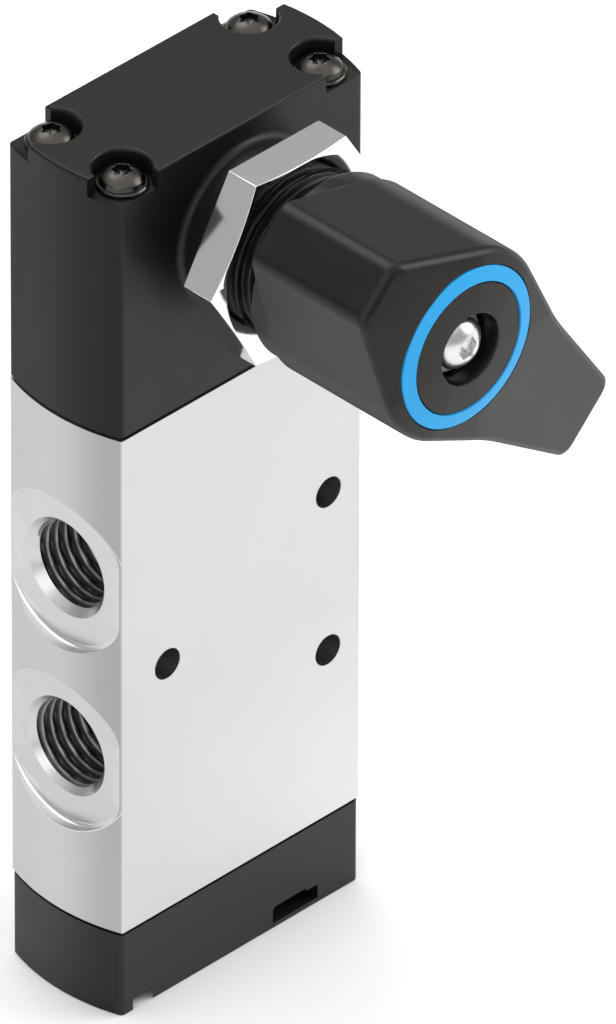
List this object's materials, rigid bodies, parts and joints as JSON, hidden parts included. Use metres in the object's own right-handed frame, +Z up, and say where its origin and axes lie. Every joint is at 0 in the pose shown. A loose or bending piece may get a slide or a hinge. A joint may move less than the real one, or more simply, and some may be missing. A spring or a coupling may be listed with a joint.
{
  "type": "manual switching valve",
  "caption": "Panel-mounted spool valve with a turning pointer knob, a black actuator housing, an aluminium body with threaded ports and a black end cap.",
  "frame": {"origin": "where the knob's axis meets the front face of the actuator housing, which is the seat of a panel", "axes": "the knob points along -Y, +Z up along the valve from the ports towards the actuator housing, +X to the right seen from the front, on the side of the supply port"},
  "size_m": [0.0394, 0.0443, 0.0949],
  "materials": {
    "anodised_aluminium": "satin anodised, extruded and machined",
    "black_plastic": "moulded, fine grain",
    "knob_plastic": "moulded, semi-matte",
    "blue_plastic": "moulded, semi-matte",
    "white_plastic": "moulded",
    "black_rubber": "moulded",
    "black_steel": "black oxide",
    "plated_steel": "bright zinc or nickel plate",
    "bright_steel": "ground",
    "bearing_bronze": "turned"
  },
  "bodies": {
    "valve": {"valve_body": "anodised_aluminium", "bottom_cap": "black_plastic", "cap_gasket": "black_rubber", "cap_screws": "black_steel", "actuator_housing": "black_plastic", "housing_gasket": "black_rubber", "housing_screws": "black_steel", "panel_nut": "plated_steel", "shaft_bearing": "bearing_bronze", "rear_bearing": "bearing_bronze", "seal_retainer": "black_plastic", "shaft_seal": "black_rubber", "detent_leaf": "bright_steel", "tappet_guide": "bearing_bronze", "spool_seals": "black_rubber", "seal_spacers": "white_plastic", "end_bush": "bearing_bronze", "return_spring": "bright_steel"},
    "knob": {"knob": "knob_plastic", "knob_ring": "blue_plastic", "knob_washer": "plated_steel", "knob_screw": "plated_steel", "knob_shaft": "bright_steel", "shaft_clip": "black_steel", "cam": "bright_steel"},
    "spool": {"spool": "bright_steel", "tappet": "bright_steel", "spring_seat": "bright_steel"}
  },
  "joints": [
    {"name": "knob_turn", "type": "hinge", "parent": "valve", "child": "knob", "pos_m": [0, 0, 0], "axis": [0, 1, 0], "range_deg": [0, 90], "deforming": ["detent_leaf"]},
    {"name": "spool_slide", "type": "slide", "parent": "valve", "child": "spool", "axis": [0, 0, -1], "range_m": [0, 0.003], "deforming": ["return_spring"]}
  ],
  "couplings": [
    {"joint": "spool_slide", "follows": "knob_turn", "m_per_rad": 0.0019098}
  ]
}
